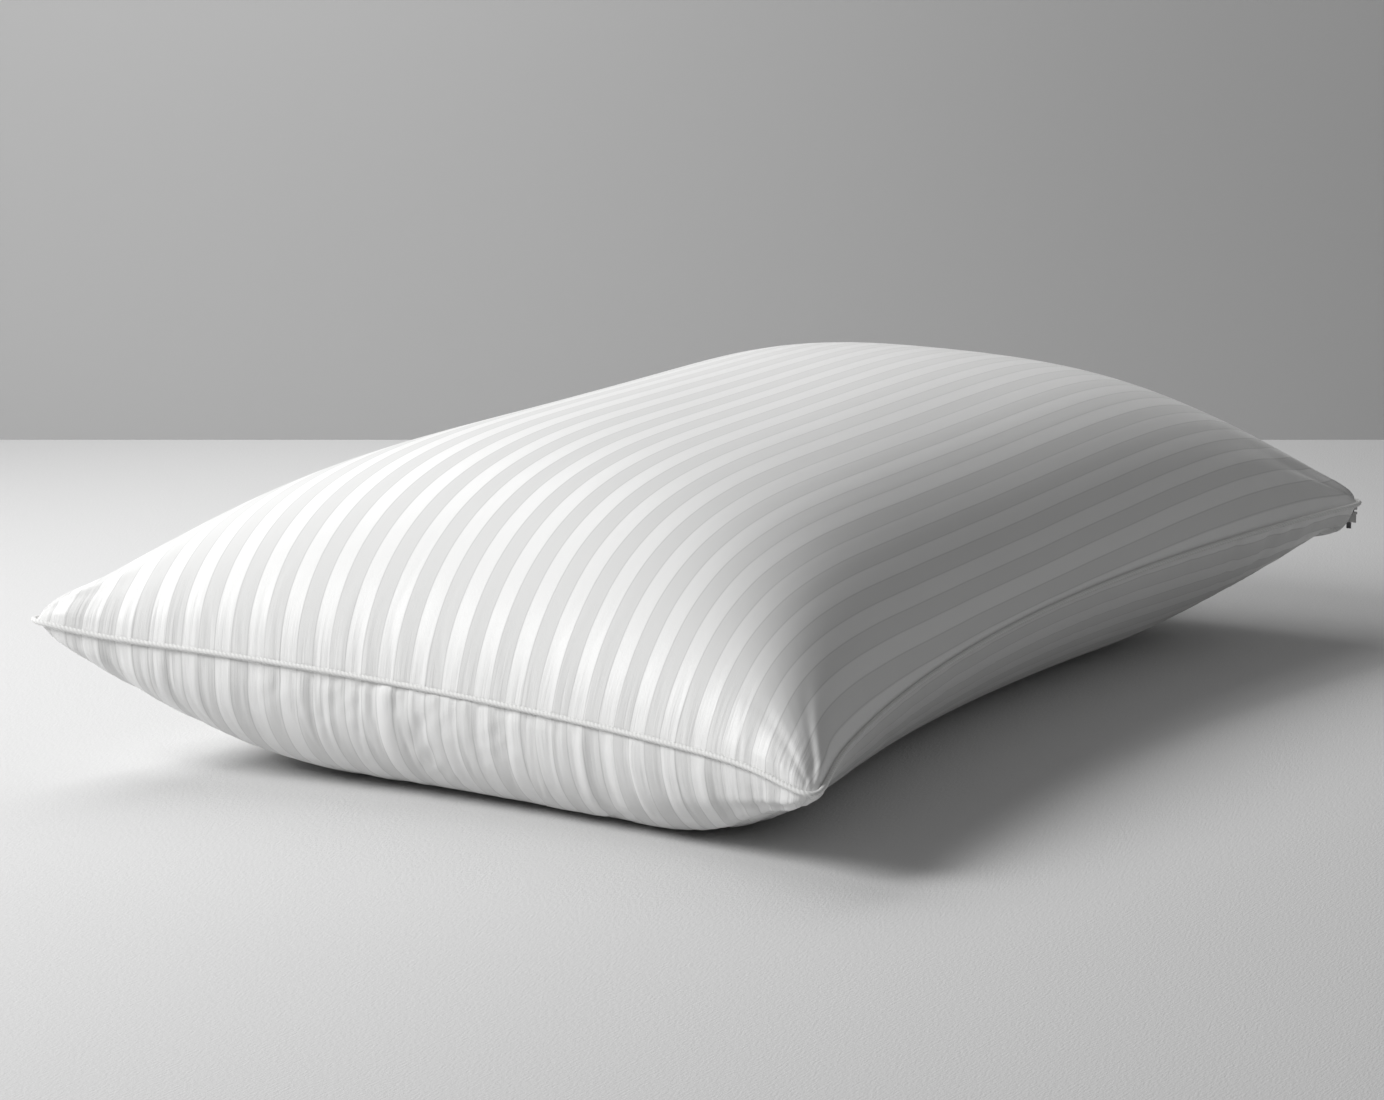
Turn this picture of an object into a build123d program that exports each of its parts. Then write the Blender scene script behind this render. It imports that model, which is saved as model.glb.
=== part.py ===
from build123d import *
import os
from math import comb

import numpy as np

# A bed pillow: a striped sateen cover with a piped edge and an end zip, over an
# inner pillow of plain ticking filled with fibre.  Millimetres, Z up.  The long
# side lies along X.  The origin is under the middle of the pillow, on the
# surface that it rests on.

# ---------------------------------------------------------------- overall size
LENGTH = 700.0              # over the piping, corner to corner, along X
WIDTH = 480.0               # over the piping, corner to corner, along Y
SIDE_PULL_IN = 54.0         # how far each long edge bows in at its middle
END_PULL_IN = 30.0          # how far the sewn short end bows in at its middle
CROWN_RISE = 107.0          # top of the crown above the seam

# heights of the corners of the seam above the resting surface
SEWN_END_BACK = 78.0        # -X, +Y
SEWN_END_FRONT = 47.0       # -X, -Y, the corner that droops
ZIP_END = 80.0              # +X, both corners, so that the zip lies level

# ------------------------------------------------------------ shape of the faces
LENGTH_FULLNESS = 4.6       # exponent of the crown along X: higher is boxier
WIDTH_FULLNESS = 2.4        # exponent of the crown along Y
EDGE_STEEPNESS = 0.9        # 0 gives a knife edge, 1 a vertical edge at the seam
FLAT_LENGTH = 0.50          # share of each direction that rests flat on the surface,
FLAT_WIDTH = 0.30           # measured along the cloth from the middle to the seam
PATCH_DEGREE = 7            # degree of each of the nine patches of a face
LEVEL_TOLERANCE = 1e-6      # a patch whose heights differ by less lies flat

# ------------------------------------------------------------ cloth and threads
COVER_CLOTH = 0.6
TICKING_CLOTH = 0.5
LAYER_GAP = 0.5             # air between two layers of cloth
SEAM_GAP = 1.2              # between the raw edges of the two cover panels
THREAD_RADIUS = 0.25

# ----------------------------------------------------------------------- piping
PIPING_RADIUS = 1.4         # over the bias sleeve
SLEEVE_WALL = 0.35
CORD_FIT = 0.05             # between cord and sleeve
EDGE_INSET = 3.0            # piping centre line to the edge of the cover panels
FLANGE_THICKNESS = 0.5
FLANGE_REACH = 10.0         # inner edge of the flange, from the centre line
FLANGE_CLIP = 32.0          # length clipped off the flange at each corner
CORNER_LEG = 5.5            # where the piping starts to turn, from the corner
STITCH_INSET = 5.0          # line of the edge seam, from the centre line

# ------------------------------------------------------------------- inner pillow
LINER_INSET = 14.0          # piping centre line to the edge of the ticking
LINER_SEAM_GAP = 0.4
LINER_STITCH_GAP = 1.8      # from the edge of the ticking to the thread that closes it
LINER_STITCH_REACH = 0.8    # share of each side that the thread runs along

# --------------------------------------------------------------------------- zip
ZIP_INSET = 5.8             # piping centre line to the cover edge at the zip end
ZIP_END_MARGIN = 7.0        # from the corner to the end of the tapes
CHAIN_DROP = 6.0            # middle of the chain below the seam
TAPE_THICKNESS = 0.5
UPPER_TAPE_HEIGHT = 3.4     # from the chain's slit to the edge of the tape
LOWER_TAPE_HEIGHT = 6.5
COIL_WIDTH = 1.5            # up and down
COIL_HEIGHT = 1.3           # in and out
RUN_CLEARANCE = 0.3         # around the slider, and between pull and bail
PLATE_THICKNESS = 0.8
SLIDER_LENGTH = 8.0
NECK_THICKNESS = 0.8
STOP_LENGTH = 2.0
BAIL_WIRE_RADIUS = 0.5
BAIL_SPAN = 5.6             # between the outer faces of the two posts
POST_THICKNESS = 0.9
EYE_WALL = 0.5
PULL_LENGTH = 12.0          # from the bail to the tip
PULL_WIDTH = 3.2
PULL_THICKNESS = 1.0

# -------------------------------------------------------------- derived positions
PIPE_X = LENGTH / 2 - PIPING_RADIUS
PIPE_Y = WIDTH / 2 - PIPING_RADIUS
SEWN_EDGE_X = -PIPE_X + EDGE_INSET
ZIP_EDGE_X = PIPE_X - ZIP_INSET
COVER_EDGE_Y = PIPE_Y - EDGE_INSET

TAPE_X = ZIP_EDGE_X + RUN_CLEARANCE + PLATE_THICKNESS + RUN_CLEARANCE + TAPE_THICKNESS / 2
TAPE_FACE_X = TAPE_X + TAPE_THICKNESS / 2
CHAIN_Z = ZIP_END - CHAIN_DROP
HALF_SLIT = NECK_THICKNESS / 2 + RUN_CLEARANCE
CHAIN_HALF_HEIGHT = HALF_SLIT + COIL_WIDTH
ZIP_HALF_LENGTH = PIPE_Y - ZIP_END_MARGIN
FRONT_PLATE_X = TAPE_FACE_X + COIL_HEIGHT + RUN_CLEARANCE
BACK_PLATE_X = TAPE_X - TAPE_THICKNESS / 2 - RUN_CLEARANCE - PLATE_THICKNESS
EYE_RADIUS = BAIL_WIRE_RADIUS + RUN_CLEARANCE + EYE_WALL
BAIL_X = FRONT_PLATE_X + PLATE_THICKNESS + RUN_CLEARANCE + EYE_RADIUS
PARKED_Y = -ZIP_HALF_LENGTH + STOP_LENGTH + RUN_CLEARANCE + SLIDER_LENGTH / 2


# ------------------------------------------------------------------ pillow shapes
def seam_height(x, y):
    """Height of the seam surface over a point of the unbowed outline."""
    u, v = x / PIPE_X, y / PIPE_Y
    sewn_end = (SEWN_END_BACK * (1 + v) + SEWN_END_FRONT * (1 - v)) / 2
    return (sewn_end * (1 - u) + ZIP_END * (1 + u)) / 2


def seam_point(s, t, inset):
    """A point of the seam surface, for s and t from -1 to 1 along the cloth.

    inset moves the outline in from the edge of the cover.
    """
    share_x = (1 - EDGE_STEEPNESS) * s + EDGE_STEEPNESS * np.sin(np.pi * s / 2)
    share_y = (1 - EDGE_STEEPNESS) * t + EDGE_STEEPNESS * np.sin(np.pi * t / 2)
    x = (SEWN_EDGE_X + ZIP_EDGE_X) / 2 + ((ZIP_EDGE_X - SEWN_EDGE_X) / 2 - inset) * share_x
    y = (COVER_EDGE_Y - inset) * share_y
    end_bow = END_PULL_IN * (1 - x / PIPE_X) / 2 * (1 - (y / PIPE_Y) ** 2)
    side_bow = SIDE_PULL_IN * share_y * (1 - (x / PIPE_X) ** 2)
    return x + end_bow, y - side_bow, seam_height(x, y)


def crown_point(s, t, inset, rise):
    """A point of the upper face, whose middle stands rise above the seam."""
    x, y, z = seam_point(s, t, inset)
    along = 1 - abs(np.sin(np.pi * s / 2)) ** LENGTH_FULLNESS
    across = 1 - abs(np.sin(np.pi * t / 2)) ** WIDTH_FULLNESS
    return x, y, z + rise * np.sqrt(max(along * across, 0.0))


def belly_share(position, flat):
    """1 where the underside lies flat, falling to 0 at the seam."""
    beyond = max(abs(position) - flat, 0.0) / (1 - flat)
    return np.cos(np.pi * beyond / 2)


def belly_point(s, t, inset, floor):
    """A point of the lower face, which lies flat at the height floor."""
    x, y, z = seam_point(s, t, inset)
    share = belly_share(s, FLAT_LENGTH) * belly_share(t, FLAT_WIDTH)
    return x, y, z + (floor - z) * share


def control_matrix():
    """Cosine-spaced nodes on 0..1, and what turns points there into Bezier controls."""
    steps = np.arange(PATCH_DEGREE + 1)
    nodes = (1 - np.cos(np.pi * steps / PATCH_DEGREE)) / 2
    basis = [comb(PATCH_DEGREE, k) * nodes**k * (1 - nodes) ** (PATCH_DEGREE - k)
             for k in steps]
    return nodes, np.linalg.inv(np.array(basis).T)


NODES, TO_CONTROLS = control_matrix()
S_BREAKS = (-1, -FLAT_LENGTH, FLAT_LENGTH, 1)
T_BREAKS = (-1, -FLAT_WIDTH, FLAT_WIDTH, 1)


def spans(breaks):
    return [[low + (high - low) * node for node in NODES]
            for low, high in zip(breaks, breaks[1:])]


def bezier_face(controls):
    return Face.make_bezier_surface([[Vector(*point) for point in row] for row in controls])


def flat_face(controls):
    """A plane face inside the four edges of a level patch."""
    sides = (controls[0], controls[:, -1], controls[-1], controls[:, 0])
    return Face(Wire([Edge.make_bezier(*[Vector(*point) for point in side])
                      for side in sides]))


def patch_face(controls):
    level = np.ptp(controls[:, :, 2]) < LEVEL_TOLERANCE
    if level:
        controls[:, :, 2] = controls[0, 0, 2]
    return flat_face(controls) if level else bezier_face(controls)


def cloth_face(point, lift):
    """One face of the pillow as nine patches; point gives its place for s and t."""
    patches = []
    for s_span in spans(S_BREAKS):
        for t_span in spans(T_BREAKS):
            grid = np.array([[point(s, t) for t in t_span] for s in s_span])
            grid[:, :, 2] += lift
            controls = np.einsum("ai,bj,ijk->abk", TO_CONTROLS, TO_CONTROLS, grid)
            patches.append(patch_face(controls))
    return patches


def rim_strips(outer, inner, outer_lift, inner_lift):
    """Ruled strips between the edges of two faces, all round the seam."""
    def edge(point, lift, params):
        line = np.array([point(s, t) for s, t in params])
        line[:, 2] += lift
        return TO_CONTROLS @ line

    runs = [[(s, side) for s in span] for span in spans(S_BREAKS) for side in (-1, 1)]
    runs += [[(side, t) for t in span] for span in spans(T_BREAKS) for side in (-1, 1)]
    return [bezier_face([edge(outer, outer_lift, run), edge(inner, inner_lift, run)])
            for run in runs]


def solid_from(faces):
    solid = Solid(Shell(faces))
    return solid if solid.volume > 0 else Solid(solid.wrapped.Reversed())


def cloth_panel(outer, inner, lift):
    """A cloth shell between an outer and an inner face, closed along the seam."""
    return solid_from(cloth_face(outer, lift) + cloth_face(inner, lift)
                      + rim_strips(outer, inner, lift, lift))


def crown(inset, depth):
    """The upper face moved in by inset at the seam and down by depth at the crown."""
    return lambda s, t: crown_point(s, t, inset, CROWN_RISE - depth)


def belly(inset, depth):
    """The lower face moved in by inset at the seam and up by depth from the surface."""
    return lambda s, t: belly_point(s, t, inset, depth)


def cloth_pair(prefix, inset, depth, cloth, gap):
    """The upper and lower panels of one bag, whose raw edges are gap apart."""
    top = cloth_panel(crown(inset, depth), crown(inset + cloth, depth + cloth), gap / 2)
    floor = depth + gap / 2
    under = cloth_panel(belly(inset, floor), belly(inset + cloth, floor + cloth), -gap / 2)
    return {prefix + "_top_panel": top, prefix + "_bottom_panel": under}


def cover_panels():
    return cloth_pair("cover", 0, 0, COVER_CLOTH, SEAM_GAP)


def liner_and_fill():
    inset, depth = LINER_INSET - EDGE_INSET, COVER_CLOTH + LAYER_GAP
    nodes = cloth_pair("liner", inset, depth, TICKING_CLOTH, LINER_SEAM_GAP)
    step = TICKING_CLOTH + LAYER_GAP
    faces = cloth_face(crown(inset + step, depth + step), 0)
    faces += cloth_face(belly(inset + step, depth + step), 0)
    nodes["fibre_fill"] = solid_from(faces)
    return nodes


# ----------------------------------------------------------------- edge and piping
def corner_points():
    """Corners of the piping's centre line, anticlockwise from -X -Y."""
    return [Vector(-PIPE_X, -PIPE_Y, SEWN_END_FRONT), Vector(PIPE_X, -PIPE_Y, ZIP_END),
            Vector(PIPE_X, PIPE_Y, ZIP_END), Vector(-PIPE_X, PIPE_Y, SEWN_END_BACK)]


def edge_sides():
    """The four sides of the outline, each as a start, a bowed-in middle and an end."""
    corners = corner_points()
    bows = [Vector(0, SIDE_PULL_IN, 0), Vector(0, 0, 0),
            Vector(0, -SIDE_PULL_IN, 0), Vector(END_PULL_IN, 0, 0)]
    return [(corners[i], (corners[i] + corners[(i + 1) % 4]) / 2 + bow, corners[(i + 1) % 4])
            for i, bow in enumerate(bows)]


def arc_or_line(start, middle, end):
    bowed = (start + end - middle * 2).length > 1e-3
    return ThreePointArc(start, middle, end) if bowed else Line(start, end)


def side_path(side, leg):
    """A side as an arc, or a line where it has no bow, with leg cut off at each end."""
    middle = side[1]
    whole = arc_or_line(*side)
    cut = leg / whole.length
    return arc_or_line(whole @ cut, middle, whole @ (1 - cut))


def swept(profile, path):
    """A profile swept along a path, with its X pointing into the pillow."""
    forward = (path % 0).normalized()
    inward = Vector(0, 0, 1).cross(forward).normalized()
    return sweep(Plane(origin=path @ 0, x_dir=inward, z_dir=forward) * profile, path)


def swept_sides(profile, leg):
    return [swept(profile, side_path(side, leg)) for side in edge_sides()]


def edge_loop(profile):
    """A profile swept round the whole edge: four sides and four tight corners."""
    paths = [side_path(side, CORNER_LEG) for side in edge_sides()]
    pieces = [swept(profile, path) for path in paths]
    for i, corner in enumerate(corner_points()):
        turn = Bezier(paths[i - 1] @ 1, corner, paths[i] @ 0)
        pieces.append(swept(profile, turn))
    return pieces


def piping():
    bore = PIPING_RADIUS - SLEEVE_WALL
    sleeve = edge_loop(Circle(PIPING_RADIUS) - Circle(bore))
    reach = FLANGE_REACH - PIPING_RADIUS
    strip = Rectangle(reach, FLANGE_THICKNESS, align=(Align.MIN, Align.CENTER))
    flanges = swept_sides(Pos(PIPING_RADIUS + CORD_FIT, 0) * strip, FLANGE_CLIP)
    return {"piping_sleeve": Compound(sleeve + flanges),
            "piping_cord": Compound(edge_loop(Circle(bore - CORD_FIT)))}


def seam_threads():
    dot = Circle(THREAD_RADIUS)
    below_flange = -(FLANGE_THICKNESS / 2 + THREAD_RADIUS + CORD_FIT)
    cover = swept_sides(Pos(STITCH_INSET, below_flange) * dot, FLANGE_CLIP)
    liner = [swept(dot, path) for path in liner_edge_paths()]
    return {"edge_seam_thread": Compound(cover), "liner_seam_thread": Compound(liner)}


def liner_edge_paths():
    """Arcs just outside the four edges of the ticking."""
    inset = LINER_INSET - EDGE_INSET - LINER_STITCH_GAP
    stops = (-LINER_STITCH_REACH, 0, LINER_STITCH_REACH)
    sides = [[(s, side) for s in stops] for side in (-1, 1)]
    sides += [[(side, t) for t in stops] for side in (-1, 1)]
    return [arc_or_line(*[Vector(*seam_point(s, t, inset)) for s, t in side])
            for side in sides]


# ---------------------------------------------------------------------------- zip
def block(x, y, z):
    """A box given by its lowest and highest values along each axis."""
    size = Box(x[1] - x[0], y[1] - y[0], z[1] - z[0])
    return Pos((x[0] + x[1]) / 2, (y[0] + y[1]) / 2, (z[0] + z[1]) / 2) * size


def zip_tapes():
    x = (TAPE_X - TAPE_THICKNESS / 2, TAPE_FACE_X)
    y = (-ZIP_HALF_LENGTH, ZIP_HALF_LENGTH)
    upper = block(x, y, (CHAIN_Z + HALF_SLIT, CHAIN_Z + HALF_SLIT + UPPER_TAPE_HEIGHT))
    lower = block(x, y, (CHAIN_Z - HALF_SLIT - LOWER_TAPE_HEIGHT, CHAIN_Z - HALF_SLIT))
    return {"zipper_upper_tape": upper, "zipper_lower_tape": lower}


def zip_coils():
    run = ZIP_HALF_LENGTH - STOP_LENGTH
    profile = Rectangle(COIL_HEIGHT, COIL_WIDTH, align=(Align.MIN, Align.MIN))
    profile = fillet(profile.vertices().filter_by_position(Axis.X, 0.1, COIL_HEIGHT), 0.5)
    face = Plane(origin=(TAPE_FACE_X, -run, CHAIN_Z), x_dir=(1, 0, 0), z_dir=(0, -1, 0))
    upper = extrude(face * (Pos(0, HALF_SLIT) * profile), -2 * run)
    lower = mirror(upper, Plane(origin=(0, 0, CHAIN_Z), z_dir=(0, 0, 1)))
    return {"zipper_upper_coil": upper, "zipper_lower_coil": lower}


def zip_stops():
    x = (TAPE_FACE_X, TAPE_FACE_X + COIL_HEIGHT)
    parked_end = (-ZIP_HALF_LENGTH, -ZIP_HALF_LENGTH + STOP_LENGTH)
    open_end = (ZIP_HALF_LENGTH - STOP_LENGTH, ZIP_HALF_LENGTH)
    upper = (CHAIN_Z + HALF_SLIT, CHAIN_Z + CHAIN_HALF_HEIGHT)
    lower = (CHAIN_Z - CHAIN_HALF_HEIGHT, CHAIN_Z - HALF_SLIT)
    both = (lower[0], upper[1])
    pair = Compound([block(x, parked_end, upper), block(x, parked_end, lower)])
    return {"zipper_top_stops": pair, "zipper_bottom_stop": block(x, open_end, both)}


def zip_stitching():
    length = 2 * ZIP_HALF_LENGTH
    upper = CHAIN_Z + HALF_SLIT + UPPER_TAPE_HEIGHT - 3 * THREAD_RADIUS
    lower = CHAIN_Z - HALF_SLIT - LOWER_TAPE_HEIGHT + 3 * THREAD_RADIUS
    line = Rot(90, 0, 0) * Cylinder(THREAD_RADIUS, length)
    x = TAPE_FACE_X + THREAD_RADIUS + CORD_FIT
    return {"zipper_stitching": Compound([Pos(x, 0, z) * line for z in (upper, lower)])}


def zip_slider():
    y = (PARKED_Y - SLIDER_LENGTH / 2, PARKED_Y + SLIDER_LENGTH / 2)
    half = CHAIN_HALF_HEIGHT + PLATE_THICKNESS / 2
    z = (CHAIN_Z - half, CHAIN_Z + half)
    front_face = FRONT_PLATE_X + PLATE_THICKNESS
    plates = block((FRONT_PLATE_X, front_face), y, z)
    plates += block((BACK_PLATE_X, BACK_PLATE_X + PLATE_THICKNESS), y, z)
    corners = plates.edges().filter_by(Axis.X)
    plates = fillet(corners, 1.2)
    neck_y = (y[0], y[0] + SLIDER_LENGTH / 3)
    neck_z = (CHAIN_Z - NECK_THICKNESS / 2, CHAIN_Z + NECK_THICKNESS / 2)
    body = plates + block((BACK_PLATE_X, front_face), neck_y, neck_z)
    post_x = (front_face - PLATE_THICKNESS / 2, BAIL_X + BAIL_WIRE_RADIUS)
    post_z = (CHAIN_Z - BAIL_WIRE_RADIUS, CHAIN_Z + BAIL_WIRE_RADIUS)
    for side in (-1, 1):
        outer = PARKED_Y + side * BAIL_SPAN / 2
        inner = outer - side * POST_THICKNESS
        body += block(post_x, (min(outer, inner), max(outer, inner)), post_z)
    wire = Rot(90, 0, 0) * Cylinder(BAIL_WIRE_RADIUS, BAIL_SPAN - POST_THICKNESS)
    return {"zipper_slider": body + Pos(BAIL_X, PARKED_Y, CHAIN_Z) * wire}


def zip_pull():
    eye_length = BAIL_SPAN - 2 * POST_THICKNESS - 2 * RUN_CLEARANCE
    eye = Rot(90, 0, 0) * Cylinder(EYE_RADIUS, eye_length)
    blade = Pos(0, -PULL_LENGTH / 2) * Rectangle(PULL_WIDTH, PULL_LENGTH)
    blade = fillet(blade.vertices().group_by(Axis.Y)[0], PULL_WIDTH * 0.4)
    blade = extrude(Plane.YZ * blade, PULL_THICKNESS / 2, both=True)
    pull = eye + blade
    pull -= Rot(90, 0, 0) * Cylinder(BAIL_WIRE_RADIUS + RUN_CLEARANCE, 2 * BAIL_SPAN)
    return {"zipper_pull": Pos(BAIL_X, PARKED_Y, CHAIN_Z) * pull}


# ------------------------------------------------------------------------- output
def build():
    nodes = {}
    makers = [cover_panels, liner_and_fill, piping, seam_threads, zip_tapes,
              zip_coils, zip_stops, zip_stitching, zip_slider, zip_pull]
    for maker in makers:
        nodes.update(maker())
    return nodes


os.makedirs("parts", exist_ok=True)
for name, shape in build().items():
    export_step(shape, f"parts/{name}.step")

print(f"slider travel {2 * abs(PARKED_Y):.2f} mm, pull pivot "
      f"({BAIL_X:.2f}, {PARKED_Y:.2f}, {CHAIN_Z:.2f}) mm")
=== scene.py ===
"""A plump bed pillow: striped sateen cover, piped edge, end zip, inner pillow."""

import math

import bmesh
import bpy
import numpy as np
from bpy.props import FloatProperty, FloatVectorProperty, IntProperty, PointerProperty
from mathutils import Matrix, Vector


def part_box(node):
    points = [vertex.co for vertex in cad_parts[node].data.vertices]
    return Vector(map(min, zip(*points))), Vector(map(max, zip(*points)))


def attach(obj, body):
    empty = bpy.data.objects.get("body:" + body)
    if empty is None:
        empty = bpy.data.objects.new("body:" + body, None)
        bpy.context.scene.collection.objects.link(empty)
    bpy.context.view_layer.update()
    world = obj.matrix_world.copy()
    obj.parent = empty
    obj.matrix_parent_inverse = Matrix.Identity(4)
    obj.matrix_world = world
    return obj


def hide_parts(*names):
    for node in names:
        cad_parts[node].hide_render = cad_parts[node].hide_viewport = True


bl_info = {
    "name": "Bed pillow",
    "version": (1, 0, 0),
    "blender": (4, 5, 0),
    "location": "View3D > Sidebar > Pillow",
    "description": "Builds a piped bed pillow around its packed frame",
    "category": "Object",
}

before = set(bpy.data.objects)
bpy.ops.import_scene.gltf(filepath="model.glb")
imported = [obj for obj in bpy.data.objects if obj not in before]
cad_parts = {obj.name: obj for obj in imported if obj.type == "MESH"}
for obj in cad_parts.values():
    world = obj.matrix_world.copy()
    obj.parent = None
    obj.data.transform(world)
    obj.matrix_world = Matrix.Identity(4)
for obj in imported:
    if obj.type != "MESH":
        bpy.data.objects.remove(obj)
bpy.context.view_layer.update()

MM = 0.001
SLEEVE_LOW, SLEEVE_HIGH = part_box("piping_sleeve")
TAPE_LOW, TAPE_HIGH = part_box("zipper_lower_tape")


# ------------------------------------------------------------------ what can be set
def length(name, description, default):
    return FloatProperty(name=name, description=description, default=default,
                         unit="LENGTH", precision=4)


def share(name, description, default):
    return FloatProperty(name=name, description=description, default=default,
                         min=0.0, max=10.0, subtype="FACTOR")


def colour(name, description, default):
    return FloatVectorProperty(name=name, description=description, default=default,
                               size=3, min=0.0, max=1.0, subtype="COLOR")


class PillowSizes(bpy.types.PropertyGroup):
    """Sizes of the filled pillow and of the cloth that it was cut from."""
    cut_length: length("Cut length", "Length of each panel before filling", 0.762)
    cut_width: length("Cut width", "Width of each panel before filling", 0.500)
    side_pull_in: length("Side pull-in", "How far the long edges bow in", 0.056)
    end_pull_in: length("End pull-in", "How far the sewn end bows in", 0.031)
    crown_rise: length("Crown rise", "Top of the crown above the seam", 0.1018)
    belly_drop: length("Belly drop", "Depth of the belly before it flattens", 0.091)
    back_corner: length("Back corner", "Seam height at the sewn end, +Y", 0.0775)
    front_corner: length("Front corner", "Seam height at the sewn end, -Y", 0.0515)
    zip_corner: length("Zip corners", "Seam height at the zip end", 0.080)
    ear_droop: length("Ear droop", "How far the front corner's tip hangs down", 0.0075)
    ear_lift: length("Ear lift", "How far the back corner's tip turns up", 0.0045)
    corner_turn: length("Corner turn", "Length over which each corner is rounded", 0.030)
    corner_reach: length("Corner reach", "Width added before the corners are rounded", 0.002)
    length_fullness: share("Length fullness", "Boxiness of the crown along X", 4.8)
    width_fullness: share("Width fullness", "Boxiness of the crown along Y", 2.8)
    flat_length: share("Flat length", "Share of the length that lies flat", 0.33)
    flat_width: share("Flat width", "Share of the width that lies flat", 0.15)
    piping_radius: length("Piping radius", "Radius over the bias sleeve", 0.0014)
    stripe_width: length("Stripe width", "Width of one satin stripe", 0.010)
    puff: length("Puff", "Most that the simulation may move the cloth", 0.009)
    cells: IntProperty(name="Cells", description="Cloth cells across the width",
                       default=84, min=10, max=200)


class PillowColours(bpy.types.PropertyGroup):
    """Colours of the cloth, zip and studio."""
    satin: colour("Satin stripe", "Colour of the satin stripes", (0.83, 0.83, 0.825))
    matt: colour("Matt stripe", "Colour of the matt stripes", (0.73, 0.73, 0.725))
    piping: colour("Piping", "Colour of the bias sleeve", (0.76, 0.76, 0.75))
    thread: colour("Thread", "Colour of the stitches", (0.82, 0.82, 0.81))
    ticking: colour("Ticking", "Colour of the inner pillow", (0.72, 0.70, 0.66))
    fibre: colour("Filling", "Colour of the fibre", (0.85, 0.85, 0.85))
    tape: colour("Zip tape", "Colour of the woven tape", (0.74, 0.74, 0.73))
    coil: colour("Zip coil", "Colour of the nylon coil", (0.70, 0.70, 0.69))
    metal: colour("Zip metal", "Colour of the plated slider", (0.23, 0.23, 0.24))
    floor: colour("Floor", "Colour of the floor", (0.68, 0.68, 0.68))
    wall: colour("Backdrop", "Colour of the backdrop", (0.46, 0.46, 0.46))


def sizes():
    return bpy.context.scene.pillow_sizes


def colours():
    return bpy.context.scene.pillow_colours


# ---------------------------------------------------------------------- small maths
def smooth_step(x):
    x = np.clip(x, 0, 1)
    return x * x * (3 - 2 * x)


def unit(vectors):
    return vectors / np.maximum(np.linalg.norm(vectors, axis=-1, keepdims=True), 1e-12)


def run_lengths(path):
    """Distance along a path to each of its points."""
    steps = np.linalg.norm(np.diff(path, axis=0), axis=1)
    return np.concatenate([[0], np.cumsum(steps)])


# ------------------------------------------------------------------- pillow surface
EDGE_STEEPNESS = 0.9
EDGE_INSET = 0.0011         # cloth edge inside the piping's centre line
EAR_REACH = 0.030           # how far from its tip a sewn-end corner droops or lifts
LENGTH_SAG, WIDTH_SAG = 0.62, 1.26      # below 1 the belly falls steeply from the seam
FLOOR_SOFTNESS = 0.004      # height over which the belly rolls off the floor
SURFACE_SAMPLES = 401       # points along a line whose length is measured


def seam_surface(s, t, inset=0.0):
    """Points of the seam surface for arrays s and t from -1 to 1."""
    z = sizes()
    half_x = (SLEEVE_HIGH.x - SLEEVE_LOW.x) / 2 - z.piping_radius
    half_y = (SLEEVE_HIGH.y - SLEEVE_LOW.y) / 2 - z.piping_radius + z.corner_reach
    share_x = (1 - EDGE_STEEPNESS) * s + EDGE_STEEPNESS * np.sin(np.pi * s / 2)
    share_y = (1 - EDGE_STEEPNESS) * t + EDGE_STEEPNESS * np.sin(np.pi * t / 2)
    inset = inset + EDGE_INSET
    x, y = (half_x - inset) * share_x, (half_y - inset) * share_y
    u, v = x / half_x, y / half_y
    sewn = (z.back_corner * (1 + v) + z.front_corner * (1 - v)) / 2
    height = (sewn * (1 - u) + z.zip_corner * (1 + u)) / 2
    for edge, droop in ((-1, z.ear_droop), (1, -z.ear_lift)):
        from_tip = np.hypot(x + half_x, y - edge * half_y)
        height = height - droop * np.exp(-((from_tip / EAR_REACH) ** 2))
    end_bow = z.end_pull_in * (1 - u) / 2 * (1 - v**2)
    side_bow = z.side_pull_in * share_y * (1 - u**2)
    return x + end_bow, y - side_bow, height


def crown_surface(s, t, inset=0.0, depth=0.0):
    """Points of the upper face, or of a layer that lies depth below it."""
    z = sizes()
    x, y, height = seam_surface(s, t, inset)
    along = 1 - np.abs(np.sin(np.pi * s / 2)) ** z.length_fullness
    across = 1 - np.abs(np.sin(np.pi * t / 2)) ** z.width_fullness
    rise = (z.crown_rise - depth) * np.sqrt(np.clip(along * across, 0, None))
    return np.stack([x, y, height + rise], axis=-1)


def belly_surface(s, t, inset=0.0, depth=0.0):
    """Points of the lower face, or of a layer that lies depth above it."""
    z = sizes()
    x, y, height = seam_surface(s, t, inset)
    sag = 1.0
    for place, flat, power in ((s, z.flat_length, LENGTH_SAG), (t, z.flat_width, WIDTH_SAG)):
        beyond = np.clip(np.abs(place) - flat, 0, None) / (1 - flat)
        sag = sag * np.clip(np.cos(np.pi * beyond / 2), 0, None) ** power
    height = rest_on_floor(height - z.belly_drop * sag) + depth * sag
    return np.stack([x, y, height], axis=-1)


def rest_on_floor(height):
    """Heights below the floor are lifted to it, with a soft roll."""
    return (height + np.sqrt(height**2 + FLOOR_SOFTNESS**2)) / 2 - FLOOR_SOFTNESS / 20


def even_spacing(points):
    """Positions -1..1 that divide a line of points into equal lengths."""
    run = run_lengths(points)
    place = np.linspace(-1, 1, len(points))
    return lambda x: np.interp((x + 1) / 2 * run[-1], run, place)


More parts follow.
